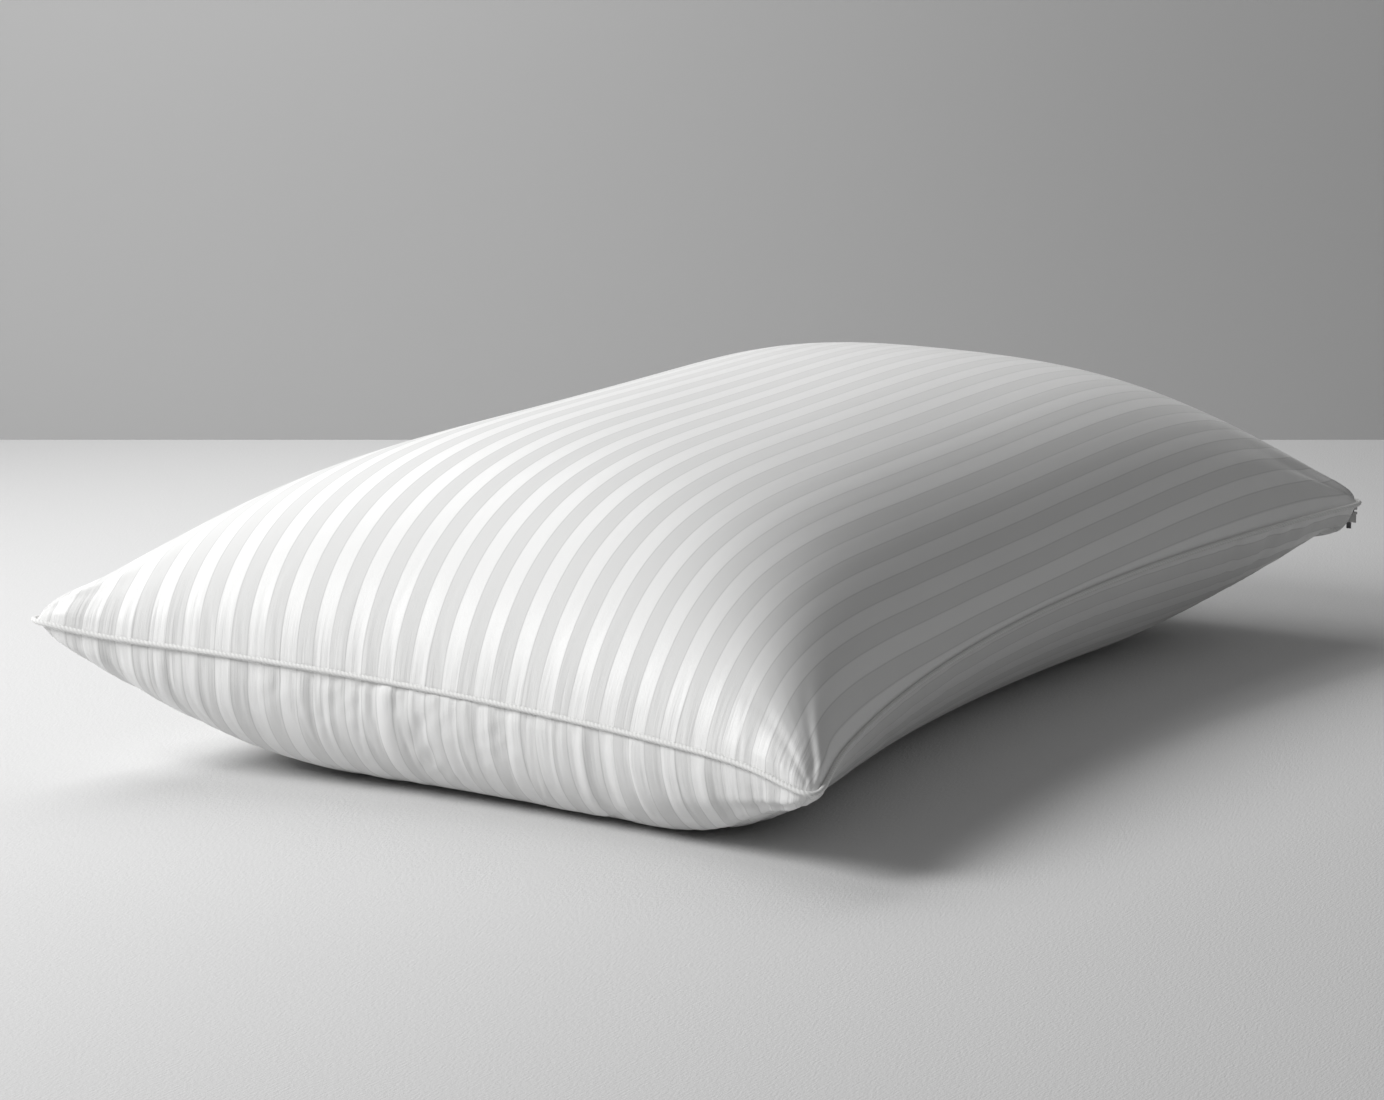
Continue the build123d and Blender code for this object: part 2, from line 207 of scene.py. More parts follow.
def cloth_to_surface(surface, x, y):
    """The s and t that lay the cloth's own even coordinates evenly on a surface."""
    line = np.linspace(-1, 1, SURFACE_SAMPLES)
    zero, one = np.zeros_like(line), np.ones_like(line)
    middle_s, edge_s = even_spacing(surface(line, zero)), even_spacing(surface(line, one))
    middle_t, edge_t = even_spacing(surface(zero, line)), even_spacing(surface(-one, line))
    near_side, near_end = y**2, x**2
    s = middle_s(x) * (1 - near_side) + edge_s(x) * near_side
    t = middle_t(y) * (1 - near_end) + edge_t(y) * near_end
    return s, t


SURFACES = {"top": crown_surface, "under": belly_surface}


def lay_cloth(panel, flat, inset=0.0, depth=0.0):
    """Places for cloth coordinates from -1 to 1, laid over one face of the pillow."""
    surface = SURFACES[panel]
    s, t = cloth_to_surface(surface, flat[:, 0], flat[:, 1])
    return surface(s, t, inset, depth)


# ------------------------------------------------------------------------ mesh tools
def new_object(name, data):
    piece = bpy.data.objects.new(name, data)
    bpy.context.scene.collection.objects.link(piece)
    return piece


def smooth_object(name, bm, material=None):
    """Turns a bmesh into a smooth-shaded object that sits at the origin."""
    mesh = bpy.data.meshes.new(name)
    for face in bm.faces:
        face.smooth = True
    bm.to_mesh(mesh)
    bm.free()
    if material is not None:
        mesh.materials.append(material)
    return new_object(name, mesh)


def panel_grid(columns, rows):
    """A grid from -1 to 1 each way, and its points' even cloth coordinates."""
    bm = bmesh.new()
    bmesh.ops.create_grid(bm, x_segments=columns, y_segments=rows, size=1)
    bm.verts.ensure_lookup_table()
    flat = np.array([vert.co[:2] for vert in bm.verts])
    return bm, flat


def indexed_grid(columns, rows):
    """A grid of the given numbers of cells, and each point's column and row."""
    bm, flat = panel_grid(columns, rows)
    column, row = np.round((flat + 1) / 2 * (columns, rows)).astype(int).T
    return bm, column, row


def read_points(mesh):
    points = np.empty(len(mesh.vertices) * 3)
    mesh.vertices.foreach_get("co", points)
    return points.reshape(-1, 3)


def write_points(mesh, points):
    mesh.vertices.foreach_set("co", points.ravel())
    mesh.update()


# --------------------------------------------------------------- filling the cover
def bag_mesh():
    """Both panels laid on the pillow's surface and joined along the seam.

    The attribute flat holds each point's place in the cut cloth, from -1 to 1,
    and its side: 1 for the upper panel, -1 for the lower one, 0 on the seam.
    """
    z = sizes()
    rows = z.cells
    columns = round(rows * z.cut_length / z.cut_width)
    bag = bmesh.new()
    flat_layer = bag.verts.layers.float_vector.new("flat")
    for side, panel in ((1, "top"), (-1, "under")):
        grid, flat = panel_grid(columns, rows)
        places = lay_cloth(panel, flat)
        mesh = bpy.data.meshes.new("panel")
        if side < 0:
            bmesh.ops.reverse_faces(grid, faces=grid.faces)
        grid.to_mesh(mesh)
        grid.free()
        first = len(bag.verts)
        bag.from_mesh(mesh)
        bag.verts.ensure_lookup_table()
        bpy.data.meshes.remove(mesh)
        for i, (place, (x, y)) in enumerate(zip(places, flat)):
            vert = bag.verts[first + i]
            on_seam = max(abs(x), abs(y)) > 1 - 1e-6
            vert.co = place
            vert[flat_layer] = (x, y, 0 if on_seam else side)
    bmesh.ops.remove_doubles(bag, verts=bag.verts, dist=1e-6)
    mesh = bpy.data.meshes.new("bag")
    bag.to_mesh(mesh)
    bag.free()
    return mesh


def flat_places(mesh):
    flat = np.empty(len(mesh.vertices) * 3)
    mesh.attributes["flat"].data.foreach_get("vector", flat)
    return flat.reshape(-1, 3)


FILL_FRAMES = 24


def fill_with_pressure(bag):
    """Lets the cut cloth settle over the filling by cloth simulation."""
    z = sizes()
    mesh = bag.data
    flat = flat_places(mesh)
    start = read_points(mesh)
    seam = bag.vertex_groups.new(name="seam")
    seam.add([int(i) for i in np.flatnonzero(flat[:, 2] == 0)], 1.0, "REPLACE")
    bag.shape_key_add(name="filled")
    rest = bag.shape_key_add(name="cut")
    cut = np.stack([flat[:, 0] * z.cut_length / 2, flat[:, 1] * z.cut_width / 2,
                    np.zeros(len(flat))], axis=-1)
    rest.data.foreach_set("co", cut.ravel())
    cloth = bag.modifiers.new("cloth", "CLOTH")
    cloth_settings(cloth.settings)
    cloth.settings.vertex_group_mass = seam.name
    cloth.settings.rest_shape_key = rest
    cloth.collision_settings.use_collision = False
    cloth.collision_settings.use_self_collision = False
    cloth.point_cache.frame_start = 1
    cloth.point_cache.frame_end = FILL_FRAMES
    scene = bpy.context.scene
    for number in range(1, FILL_FRAMES + 1):
        scene.frame_set(number)
    settled = bag.evaluated_get(bpy.context.evaluated_depsgraph_get())
    moved = read_points(settled.to_mesh()) - start
    settled.to_mesh_clear()
    bag.modifiers.remove(cloth)
    bag.shape_key_clear()
    scene.frame_set(1)
    return panel_movements(flat, limit_length(moved, z.puff))


def limit_length(moves, longest):
    """Shortens moves smoothly, so that none is longer than the given length."""
    reach = np.linalg.norm(moves, axis=1, keepdims=True)
    return moves / np.sqrt(1 + (reach / longest) ** 2)


def panel_movements(flat, moved):
    """The movements of each panel on its even grid, as rows by columns by 3."""
    columns = len(np.unique(np.round(flat[:, 0], 6)))
    rows = len(np.unique(np.round(flat[:, 1], 6)))
    tables = {}
    for panel, sign in (("top", 1), ("under", -1)):
        own = flat[:, 2] * sign >= 0
        column = np.round((flat[own, 0] + 1) / 2 * (columns - 1)).astype(int)
        row = np.round((flat[own, 1] + 1) / 2 * (rows - 1)).astype(int)
        table = np.zeros((rows, columns, 3))
        table[row, column] = moved[own]
        tables[panel] = only_folds(table)
    return tables


FOLD_CELLS = 9              # movements wider than this many cells are smoothed away


def only_folds(table):
    """Takes the broad part out of the movements, so that the laid shape is kept."""
    weights = np.hanning(2 * FOLD_CELLS + 3)[1:-1]
    weights = weights / weights.sum()
    broad = table
    for axis in (0, 1):
        broad = np.apply_along_axis(np.convolve, axis, broad, weights, "same")
    edges = [smooth_step(np.minimum(np.arange(n), np.arange(n)[::-1]) / 3)
             for n in table.shape[:2]]
    return table - broad * (edges[0][:, None] * edges[1][None, :])[:, :, None]


def curve_weights(places, count):
    """Catmull-Rom weights that read a table of count even samples at places -1..1."""
    at = (np.asarray(places) + 1) / 2 * (count - 1)
    cell = np.clip(np.floor(at).astype(int), 0, count - 2)
    u = at - cell
    parts = (-u**3 + 2 * u**2 - u, 3 * u**3 - 5 * u**2 + 2,
             -3 * u**3 + 4 * u**2 + u, u**3 - u**2)
    weights = np.zeros((len(at), count))
    for offset, part in zip((-1, 0, 1, 2), parts):
        np.add.at(weights, (np.arange(len(at)), np.clip(cell + offset, 0, count - 1)),
                  part / 2)
    return weights


def read_table(table, x, y):
    """Values of a table at every pairing of the rows' y with the columns' x."""
    across, along = curve_weights(y, table.shape[0]), curve_weights(x, table.shape[1])
    return np.einsum("ri,cj,ijk->rck", across, along, table)


def cloth_settings(settings):
    settings.quality = 6
    settings.mass = 0.12
    settings.air_damping = 1.0
    settings.tension_stiffness = 20
    settings.compression_stiffness = 12
    settings.shear_stiffness = 4
    settings.bending_stiffness = 0.25
    settings.tension_damping = 5
    settings.compression_damping = 5
    settings.shear_damping = 5
    settings.bending_damping = 0.5
    settings.use_pressure = True
    settings.uniform_pressure_force = 4.0
    settings.effector_weights.gravity = 0


# ------------------------------------------------------------- gathers and creases
def hash_noise(cell, seed):
    """A repeatable number from 0 to 1 for each whole number in an array."""
    value = np.sin((cell + seed * 17.0) * 12.9898) * 43758.5453
    return value - np.floor(value)


def smooth_noise(x, seed):
    """Smooth one-dimensional noise from -1 to 1, one wave to about two units."""
    cell = np.floor(x)
    part = x - cell
    part = part * part * (3 - 2 * part)
    low, high = hash_noise(cell, seed), hash_noise(cell + 1, seed)
    return (low + (high - low) * part) * 2 - 1


def gather_folds(along, inward, spacing, reach, seed):
    """Heights from -1 to 1 of folds that run in from a seam and die away.

    along is the distance along the seam and inward the distance from it.
    """
    drift = smooth_noise(inward / (reach * 0.9) + 7.3 * seed, seed + 3) * spacing * 0.5
    lean = smooth_noise(along / (spacing * 9), seed + 5) * inward * 0.22
    place = (along + drift + lean) / spacing
    ridges = 2 * np.abs(smooth_noise(place * 0.62, seed)) ** 0.6 - 1
    fold = ridges * 0.6 + smooth_noise(place * 1.3, seed + 1) * 0.4
    own_reach = reach * (0.5 + hash_noise(np.floor(place * 0.62), seed + 2))
    start = smooth_step(inward / (spacing * 0.22))
    fade = np.exp(-((inward / own_reach) ** 2))
    return fold * start * fade


# side, seam, spacing, reach, height, where along the seam it is strongest, spread
GATHERS = (
    ("under", "sewn", 8.0, 56.0, 1.25, 0.00, 1.30),
    ("under", "sewn", 4.6, 44.0, 0.85, 0.00, 1.50),
    ("under", "sewn", 19.0, 70.0, 0.80, -0.20, 1.00),
    ("top", "sewn", 7.0, 34.0, 0.42, 0.10, 1.20),
    ("top", "sewn", 4.0, 15.0, 0.50, -0.82, 0.45),
    ("top", "sewn", 4.4, 20.0, 0.28, 0.30, 0.90),
    ("under", "zip", 9.0, 48.0, 1.10, 0.00, 1.30),
    ("under", "zip", 5.0, 32.0, 0.60, 0.00, 1.30),
    ("top", "zip", 9.0, 34.0, 0.80, 0.00, 1.30),
    ("top", "zip", 5.0, 20.0, 0.40, 0.00, 1.30),
    ("top", "front", 10.0, 22.0, 0.35, 0.80, 0.30),
    ("under", "front", 8.0, 36.0, 1.40, 0.74, 0.20),
    ("under", "front", 14.0, 22.0, 0.35, 0.00, 1.30),
    ("top", "front", 16.0, 16.0, 0.15, 0.00, 1.30),
    ("top", "back", 12.0, 22.0, 0.35, 0.00, 1.30),
    ("under", "back", 13.0, 28.0, 0.80, 0.00, 1.30),
)


def seam_distances(flat):
    """Distance in from each seam, and place along it, of every cloth point."""
    z = sizes()
    x, y = flat[:, 0], flat[:, 1]
    half_length, half_width = z.cut_length / 2, z.cut_width / 2
    return {
        "sewn": ((x + 1) * half_length, y * half_width, y),
        "zip": ((1 - x) * half_length, y * half_width, y),
        "front": ((y + 1) * half_width, x * half_length, x),
        "back": ((1 - y) * half_width, x * half_length, x),
    }


def gather_heights(flat, panel):
    """How far each cloth point moves out for the gathers of one panel."""
    total = np.zeros(len(flat))
    places = seam_distances(flat)
    for number, (side, seam, spacing, reach, height, middle, spread) in enumerate(GATHERS):
        if side != panel:
            continue
        inward, along, share_along = places[seam]
        folds = gather_folds(along, inward, spacing * MM, reach * MM, number * 11.0)
        near = np.exp(-(((share_along - middle) / spread) ** 2))
        total += folds * near * height * MM
    return total


# side, corner's x and y, spacing of its creases as an angle, length, height, plumpness
CORNER_CREASES = (
    ("top", -1, -1, 0.15, 60.0, 1.2, 4.0),
    ("top", -1, 1, 0.18, 90.0, 1.4, 2.5),
    ("top", 1, -1, 0.15, 80.0, 2.2, 1.0),
    ("top", 1, 1, 0.20, 90.0, 1.4, 2.0),
    ("under", -1, -1, 0.15, 90.0, 1.6, 2.5),
    ("under", -1, 1, 0.18, 90.0, 1.5, 2.0),
    ("under", 1, -1, 0.16, 90.0, 1.6, 0.0),
    ("under", 1, 1, 0.20, 90.0, 1.4, 0.0),
)
PLUMP_FROM, PLUMP_SPREAD = 0.024, 0.016     # where a corner is plumpest, and how widely
CREASE_START = 0.012        # from the corner to where its creases are full
CREASE_SIDES = 0.004        # and from the seams beside them
CREASE_WANDER = 0.035       # length over which a crease turns


def corner_crease_heights(flat, panel):
    """Creases that spread from the four corners like a fan."""
    z = sizes()
    total = np.zeros(len(flat))
    for number, crease in enumerate(CORNER_CREASES):
        side, end, edge, spacing, reach, height, plump = crease
        if side != panel:
            continue
        inward_x = (1 - flat[:, 0] * end) * z.cut_length / 2
        inward_y = (1 - flat[:, 1] * edge) * z.cut_width / 2
        away = np.hypot(inward_x, inward_y)
        angle = np.arctan2(inward_y, inward_x)
        turn = smooth_noise(away / CREASE_WANDER, number + 40) * 0.05
        fold = smooth_noise((angle + turn) / spacing, number * 3.0 + 60)
        rise = np.clip(away / CREASE_START, 0, 1) * np.exp(-((away / (reach * MM)) ** 2))
        sides = np.clip(np.minimum(inward_x, inward_y) / CREASE_SIDES, 0, 1)
        total += fold * rise * sides * height * MM
        swell = np.exp(-(((away - PLUMP_FROM) / PLUMP_SPREAD) ** 2))
        total += swell * smooth_step(sides * 0.6) * plump * MM
    return total


def soft_waves(flat, panel):
    """The slight unevenness of a filled panel, away from its seams."""
    seed = 5.0 if panel == "top" else 9.0
    x, y = flat[:, 0], flat[:, 1]
    wave = np.sin(3.1 * x + 1.7 * y + seed) * np.sin(2.3 * y - 1.1 * x + seed * 2)
    wave += 0.5 * np.sin(6.3 * x - 3.9 * y + seed * 3) * np.sin(5.1 * y + seed)
    return wave * (1 - x**2) * (1 - y**2) * 1.2 * MM


# --------------------------------------------------------------------- cover panels
COVER_FLOOR = 0.00005       # lowest that the cover may lie
LEAST_DEPTH = 0.7           # share of its depth below which no inner layer sinks
COLUMNS_PER_CELL, ROWS_PER_CELL = 2.6, 5        # of the finished cover
COLUMN_CROWDING, ROW_CROWDING = 0.60, 0.10      # towards its edges


def packed_to_edges(count, edge_share):
    """Positions -1..1 that crowd towards both ends."""
    even = np.linspace(-1, 1, count)
    return (1 - edge_share) * even + edge_share * np.sin(np.pi * even / 2)


def panel_mesh(name, panel, x, y, moves, inset=0.0, depth=0.0):
    """A panel with a point at every pairing of x and y in cloth coordinates."""
    bm, column, row = indexed_grid(len(x) - 1, len(y) - 1)
    flat = np.stack([x[column], y[row]], axis=-1)
    places = lay_cloth(panel, flat, inset, depth)
    if moves is not None:
        places = places + read_table(moves[panel], x, y)[row, column]
        places[:, 2] = np.maximum(places[:, 2], depth * LEAST_DEPTH)
    if panel == "under":
        bmesh.ops.reverse_faces(bm, faces=bm.faces)
    piece = smooth_object(name, bm)
    write_points(piece.data, places)
    return piece, flat


def cloth_uv(mesh, flat):
    """A UV map in metres of the cut cloth, x along its length."""
    z = sizes()
    corners = np.empty(len(mesh.loops), dtype=np.int32)
    mesh.loops.foreach_get("vertex_index", corners)
    place = flat[corners] * np.array([z.cut_length / 2, z.cut_width / 2])
    layer = mesh.uv_layers.new(name="cloth")
    layer.data.foreach_set("uv", place.ravel())


def push_out(mesh, heights):
    """Moves every point along its normal, but not below the floor."""
    normals = np.empty(len(mesh.vertices) * 3)
    mesh.vertices.foreach_get("normal", normals)
    points = read_points(mesh) + normals.reshape(-1, 3) * heights[:, None]
    write_points(mesh, points)


FINE_SPACING = 0.0005       # between the points of a path while it is being rounded


def turn_weights(spacing):
    """Weights of the running average that rounds the corners of the seam."""
    reach = max(round(sizes().corner_turn / spacing), 1)
    weights = np.hanning(2 * reach + 3)[1:-1]
    return np.arange(-reach, reach + 1), weights / weights.sum()


def corner_rounding(points, flat):
    """Draws the corners of a panel in, as the piping's rounding draws in the seam."""
    z = sizes()
    steps, weights = turn_weights(FINE_SPACING)
    away = steps * FINE_SPACING
    reach = np.linspace(0, z.corner_turn, 60)
    pull = [np.sum(weights * np.clip(-r - away, 0, None)) for r in reach]
    for end in (-1, 1):
        for edge in (-1, 1):
            inward = np.hypot((1 - flat[:, 0] * end) * z.cut_length / 2,
                              (1 - flat[:, 1] * edge) * z.cut_width / 2)
            share = np.interp(inward, reach, pull, right=0.0)
            points = points + corner_directions(end, edge) * share[:, None]
    return points


def corner_directions(end, edge):
    """The sum of the two unit directions in which the seam leaves a corner."""
    s = np.array([end, end * 0.94, end])
    t = np.array([edge, edge, edge * 0.92])
    tip, along, across = np.stack(seam_surface(s, t), axis=-1)
    return unit(along - tip) + unit(across - tip)


TAPE_BEHIND = 0.0004        # the lower panel's edge lies this far behind its tape
TAPE_LAP = 0.0012           # and this far above the tape's lower edge
TAPE_EASE = 0.014           # length over which the edge leaves the tape at its ends
TAPE_EASE_START = 0.010     # from the end of the tape
TAPE_PULL = 0.015           # how far into the panel the tape draws the cloth


def tuck_behind_tape(points, flat):
    """Moves the lower panel's end edge from the piping down to the zip's lower tape."""
    z = sizes()
    inward = (1 - flat[:, 0]) * z.cut_length / 2
    half_zip = (TAPE_HIGH.y - TAPE_LOW.y) / 2
    beyond = (np.abs(points[:, 1]) - half_zip + TAPE_EASE_START) / TAPE_EASE
    fade = np.exp(-((inward / TAPE_PULL) ** 2)) * (1 - smooth_step(beyond))
    edge = np.array([SLEEVE_HIGH.x - z.piping_radius - EDGE_INSET, z.zip_corner])
    target = np.array([TAPE_LOW.x - TAPE_BEHIND, TAPE_LOW.z + TAPE_LAP])
    points = points.copy()
    points[:, 0] += (target[0] - edge[0]) * fade
    points[:, 2] += (target[1] - edge[1]) * fade
    return points


def cover_panel(panel, moves):
    """One striped panel, with its gathers, resting on the floor."""
    z = sizes()
    x = packed_to_edges(round(z.cells * COLUMNS_PER_CELL), COLUMN_CROWDING)
    y = packed_to_edges(z.cells * ROWS_PER_CELL, ROW_CROWDING)
    piece, flat = panel_mesh(f"cover_{panel}", panel, x, y, moves)
    heights = gather_heights(flat, panel) + corner_crease_heights(flat, panel)
    push_out(piece.data, heights + soft_waves(flat, panel))
    points = corner_rounding(read_points(piece.data), flat)
    if panel == "under":
        points = tuck_behind_tape(points, flat)
    points[:, 2] = np.maximum(points[:, 2], COVER_FLOOR)
    write_points(piece.data, points)
    cloth_uv(piece.data, flat)
    return piece


def cover_movements():
    bag = new_object("bag", bag_mesh())
    moves = fill_with_pressure(bag)
    bpy.data.objects.remove(bag)
    return moves


FILLED = {}                 # the simulated movements, worked out once


def movements():
    if "moves" not in FILLED:
        FILLED["moves"] = cover_movements()
    return FILLED["moves"]


# --------------------------------------------------------------------- inner pillow
LINER_INSET, LINER_DEPTH = 0.014, 0.0065
FIBRE_INSET, FIBRE_DEPTH = 0.0155, 0.0085
INNER_COLUMNS, INNER_ROWS = 97, 65
LINER_THREAD_RADIUS = 0.00025
LINER_THREAD_RINGS = 0.004  # spacing of the thread's rings


def inner_panel(name, panel, inset, depth):
    """One face of a layer inside the cover."""
    x, y = np.linspace(-1, 1, INNER_COLUMNS), np.linspace(-1, 1, INNER_ROWS)
    return panel_mesh(name, panel, x, y, movements(), inset, depth)[0]


def fibre_filling():
    """The filling, as one closed object whose two faces share their edges."""
    bm = bmesh.new()
    for panel in SURFACES:
        face = inner_panel(f"fibre_{panel}", panel, FIBRE_INSET, FIBRE_DEPTH)
        bm.from_mesh(face.data)
        bpy.data.objects.remove(face)
    bmesh.ops.remove_doubles(bm, verts=bm.verts, dist=1e-6)
    return smooth_object("fibre_filling", bm)


# ----------------------------------------------------------------- tubes and repeats
LEVEL = (0.0, 0.0, 1.0)     # with this as its reference, a path's side direction is level


def path_frames(path, closed, reference=LEVEL):
    """Tangent, side and up at each point of a path; side is square to the reference."""
    if closed:
        ahead = np.roll(path, -1, axis=0) - np.roll(path, 1, axis=0)
    else:
        ahead = np.gradient(path, axis=0)
    tangent = unit(ahead)
    side = unit(np.cross(tangent, reference))
    return tangent, side, np.cross(side, tangent)


def tube(name, path, radius, sides, closed=False, reference=LEVEL):
    """A round tube along a path, with a UV map in metres along and around it."""
    rings = len(path)
    _, side, up = path_frames(path, closed, reference)
    bm, ring, turn = indexed_grid(rings if closed else rings - 1, sides)
    layer = bm.loops.layers.uv.new("tube")
    run = run_lengths(np.vstack([path, path[:1]]))
    along, around = run[ring], turn / sides * 2 * np.pi * radius
    for face in bm.faces:
        for loop in face.loops:
            i = loop.vert.index
            loop[layer].uv = (along[i], around[i])
    angle = (turn % sides / sides * 2 * np.pi)[:, None]
    wrap = ring % rings
    round_path = side[wrap] * np.cos(angle) + up[wrap] * np.sin(angle)
    places = path[wrap] + radius * round_path
    for vert, place in zip(bm.verts, places):
        vert.co = place
    bmesh.ops.remove_doubles(bm, verts=bm.verts, dist=1e-7)
    bmesh.ops.recalc_face_normals(bm, faces=bm.faces)
    return smooth_object(name, bm)


def scatter(name, shape, places, axes):
    """Copies of a small closed mesh; axes holds each copy's three directions."""
    points = read_points(shape)
    faces = [tuple(face.vertices) for face in shape.polygons]
    copies = np.einsum("pk,ckj->cpj", points, axes) + places[:, None, :]
    count = len(points)
    every = [tuple(i + count * copy for i in face)
             for copy in range(len(places)) for face in faces]
    mesh = bpy.data.meshes.new(name)
    mesh.from_pydata(copies.reshape(-1, 3).tolist(), [], every)
    mesh.polygons.foreach_set("use_smooth", [True] * len(every))
    mesh.update()
    return new_object(name, mesh)


def stitch_shape(size, thickness):
    """One short stitch along X, rounded at both ends."""
    bm = bmesh.new()
    bmesh.ops.create_uvsphere(bm, u_segments=8, v_segments=5, radius=0.5)
    turn = Matrix.Rotation(math.pi / 2, 3, "Y")
    bmesh.ops.transform(bm, matrix=turn.to_4x4(), verts=bm.verts)
    bmesh.ops.scale(bm, vec=(size, thickness, thickness), verts=bm.verts)
    mesh = bpy.data.meshes.new("stitch")
    bm.to_mesh(mesh)
    bm.free()
    return mesh


def even_path(path, spacing, closed=False):
    """The same path with its points evenly spaced."""
    line = np.vstack([path, path[:1]]) if closed else path
    run = run_lengths(line)
    count = max(round(run[-1] / spacing), 2)
    at = np.linspace(0, run[-1], count + 1)
    even = np.stack([np.interp(at, run, line[:, k]) for k in range(3)], axis=-1)
    return even[:-1] if closed else even


def rounded_loop(path):
    """Rounds a closed, evenly spaced path's corners by averaging along it."""
    steps, weights = turn_weights(np.linalg.norm(path[1] - path[0]))
    return sum(np.roll(path, step, axis=0) * weight
               for step, weight in zip(steps, weights))


# --------------------------------------------------------------------------- piping
SEAM_SAMPLES = 500
STITCH_PITCH = 0.0033
STITCH_LENGTH = 0.0023
STITCH_THICKNESS = 0.0006
STITCH_SINK = 0.0002        # middle of a tape's stitch below the face of its node
STITCH_ANGLE = 0.95         # down from level, round the piping, in radians


def seam_loop(inset=0.0):
    """The closed seam line round the pillow, from the corner at -X, -Y."""
    line = np.linspace(-1, 1, SEAM_SAMPLES)[:-1]
    one = np.ones_like(line)
    sides = ((line, -one), (one, line), (-line, one), (-one, -line))
    return np.vstack([np.stack(seam_surface(s, t, inset), axis=-1) for s, t in sides])


def piping_path(spacing):
    """The piping's centre line, rounded at the corners."""
    loop = rounded_loop(even_path(seam_loop(-EDGE_INSET), FINE_SPACING, True))
    return even_path(loop, spacing, True)


def piping_stitches(path):
    """Stitches along the lower edge of the piping, slightly slanted."""
    z = sizes()
    middle = even_path(path, STITCH_PITCH, True)
    tangent, outward, up = path_frames(middle, True)
    down = -up * math.sin(STITCH_ANGLE) + outward * math.cos(STITCH_ANGLE) * 0.15
    places = middle + unit(down) * z.piping_radius * 0.98
    lean = unit(tangent + 0.30 * outward)
    axes = np.stack([lean, unit(np.cross(up, lean)), up], axis=1)
    shape = stitch_shape(STITCH_LENGTH, STITCH_THICKNESS)
    return scatter("piping_stitches", shape, places, axes)


# ------------------------------------------------------------------------------ zip
COIL_PITCH = 0.0012
COIL_STEPS = 8              # points to a turn
COIL_WIRE = 0.00022
TAPE_STITCH_PITCH = 0.0032
TAPE_THICKNESS = 0.0005
TAPE_TOP_BACK = 0.0012      # top edge of the upper tape, behind the piping's centre line
TAPE_TOP_DROP = 0.0008      # and below it


def coil_path(node):
    """A flattened helix that fills the box of a coil's node."""
    low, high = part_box(node)
    middle, half = (low + high) / 2, (high - low) / 2
    turns = int((high.y - low.y - 2 * COIL_WIRE) / COIL_PITCH)
    angle = np.linspace(0, 2 * np.pi * turns, turns * COIL_STEPS + 1)
    x = middle.x + (half.x - COIL_WIRE) * np.cos(angle)
    z = middle.z + (half.z - COIL_WIRE) * np.sin(angle)
    y = np.linspace(low.y + COIL_WIRE, high.y - COIL_WIRE, len(angle))
    return np.stack([x, y, z], axis=-1)


def coil(node):
    name = node.replace("zipper", "zip")
    return tube(name, coil_path(node), COIL_WIRE, 5, reference=(0.0, 1.0, 0.0))


def upper_tape():
    """The tape above the chain, which bends out at its top to meet the piping."""
    z = sizes()
    low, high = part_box("zipper_upper_tape")
    middle_x = (low.x + high.x) / 2
    top_x = SLEEVE_HIGH.x - z.piping_radius - TAPE_TOP_BACK
    bm = bmesh.new()
    bmesh.ops.create_grid(bm, x_segments=90, y_segments=12, size=1)
    for vert in bm.verts:
        share_y, share_up = vert.co.x, (vert.co.y + 1) / 2
        bend = max(share_up - 0.5, 0) / 0.5
        x = middle_x + (top_x - middle_x) * bend**2
        height = low.z + (z.zip_corner - TAPE_TOP_DROP - low.z) * share_up
        vert.co = (x, share_y * (high.y - low.y) / 2, height)
    bmesh.ops.recalc_face_normals(bm, faces=bm.faces)
    if sum(face.normal.x for face in bm.faces) < 0:
        bmesh.ops.reverse_faces(bm, faces=bm.faces)
    bmesh.ops.solidify(bm, geom=bm.faces, thickness=TAPE_THICKNESS)
    bmesh.ops.translate(bm, vec=(TAPE_THICKNESS / 2, 0, 0), verts=bm.verts)
    bmesh.ops.recalc_face_normals(bm, faces=bm.faces)
    return smooth_object("zip_upper_tape", bm)


def tape_stitches():
    """Two rows of stitches, one near the outer edge of each tape."""
    low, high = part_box("zipper_stitching")
    count = int((high.y - low.y - STITCH_LENGTH) / TAPE_STITCH_PITCH)
    y = np.linspace(low.y + STITCH_LENGTH, high.y - STITCH_LENGTH, count)
    rows = [np.stack([np.full(count, high.x - STITCH_SINK), y, np.full(count, z)], axis=-1)
            for z in (low.z + STITCH_THICKNESS / 2, high.z - STITCH_THICKNESS / 2)]
    places = np.vstack(rows)
    turned = np.array([(0, 1, 0), (-1, 0, 0), (0, 0, 1)], dtype=float)
    axes = np.broadcast_to(turned, (len(places), 3, 3))
    return scatter("zip_stitches", stitch_shape(STITCH_LENGTH, STITCH_THICKNESS),
                   places, axes)


def rounded_block(bm, low, high, radius):
    """Adds a box with rounded edges between two corners."""
    low, high = Vector(low), Vector(high)
    made = bmesh.ops.create_cube(bm, size=1)
    verts = made["verts"]
    bmesh.ops.scale(bm, vec=high - low, verts=verts)
    bmesh.ops.translate(bm, vec=(low + high) / 2, verts=verts)
    edges = {edge for vert in verts for edge in vert.link_edges}
    bmesh.ops.bevel(bm, geom=list(edges), offset=radius, segments=2, profile=0.5,
                    affect="EDGES", offset_type="OFFSET", material=-1)


def cylinder_along_y(bm, centre, radius, length):
    turn = Matrix.Translation(centre) @ Matrix.Rotation(math.pi / 2, 4, "X")
    bmesh.ops.create_cone(bm, cap_ends=True, segments=20, radius1=radius,
                          radius2=radius, depth=length, matrix=turn)


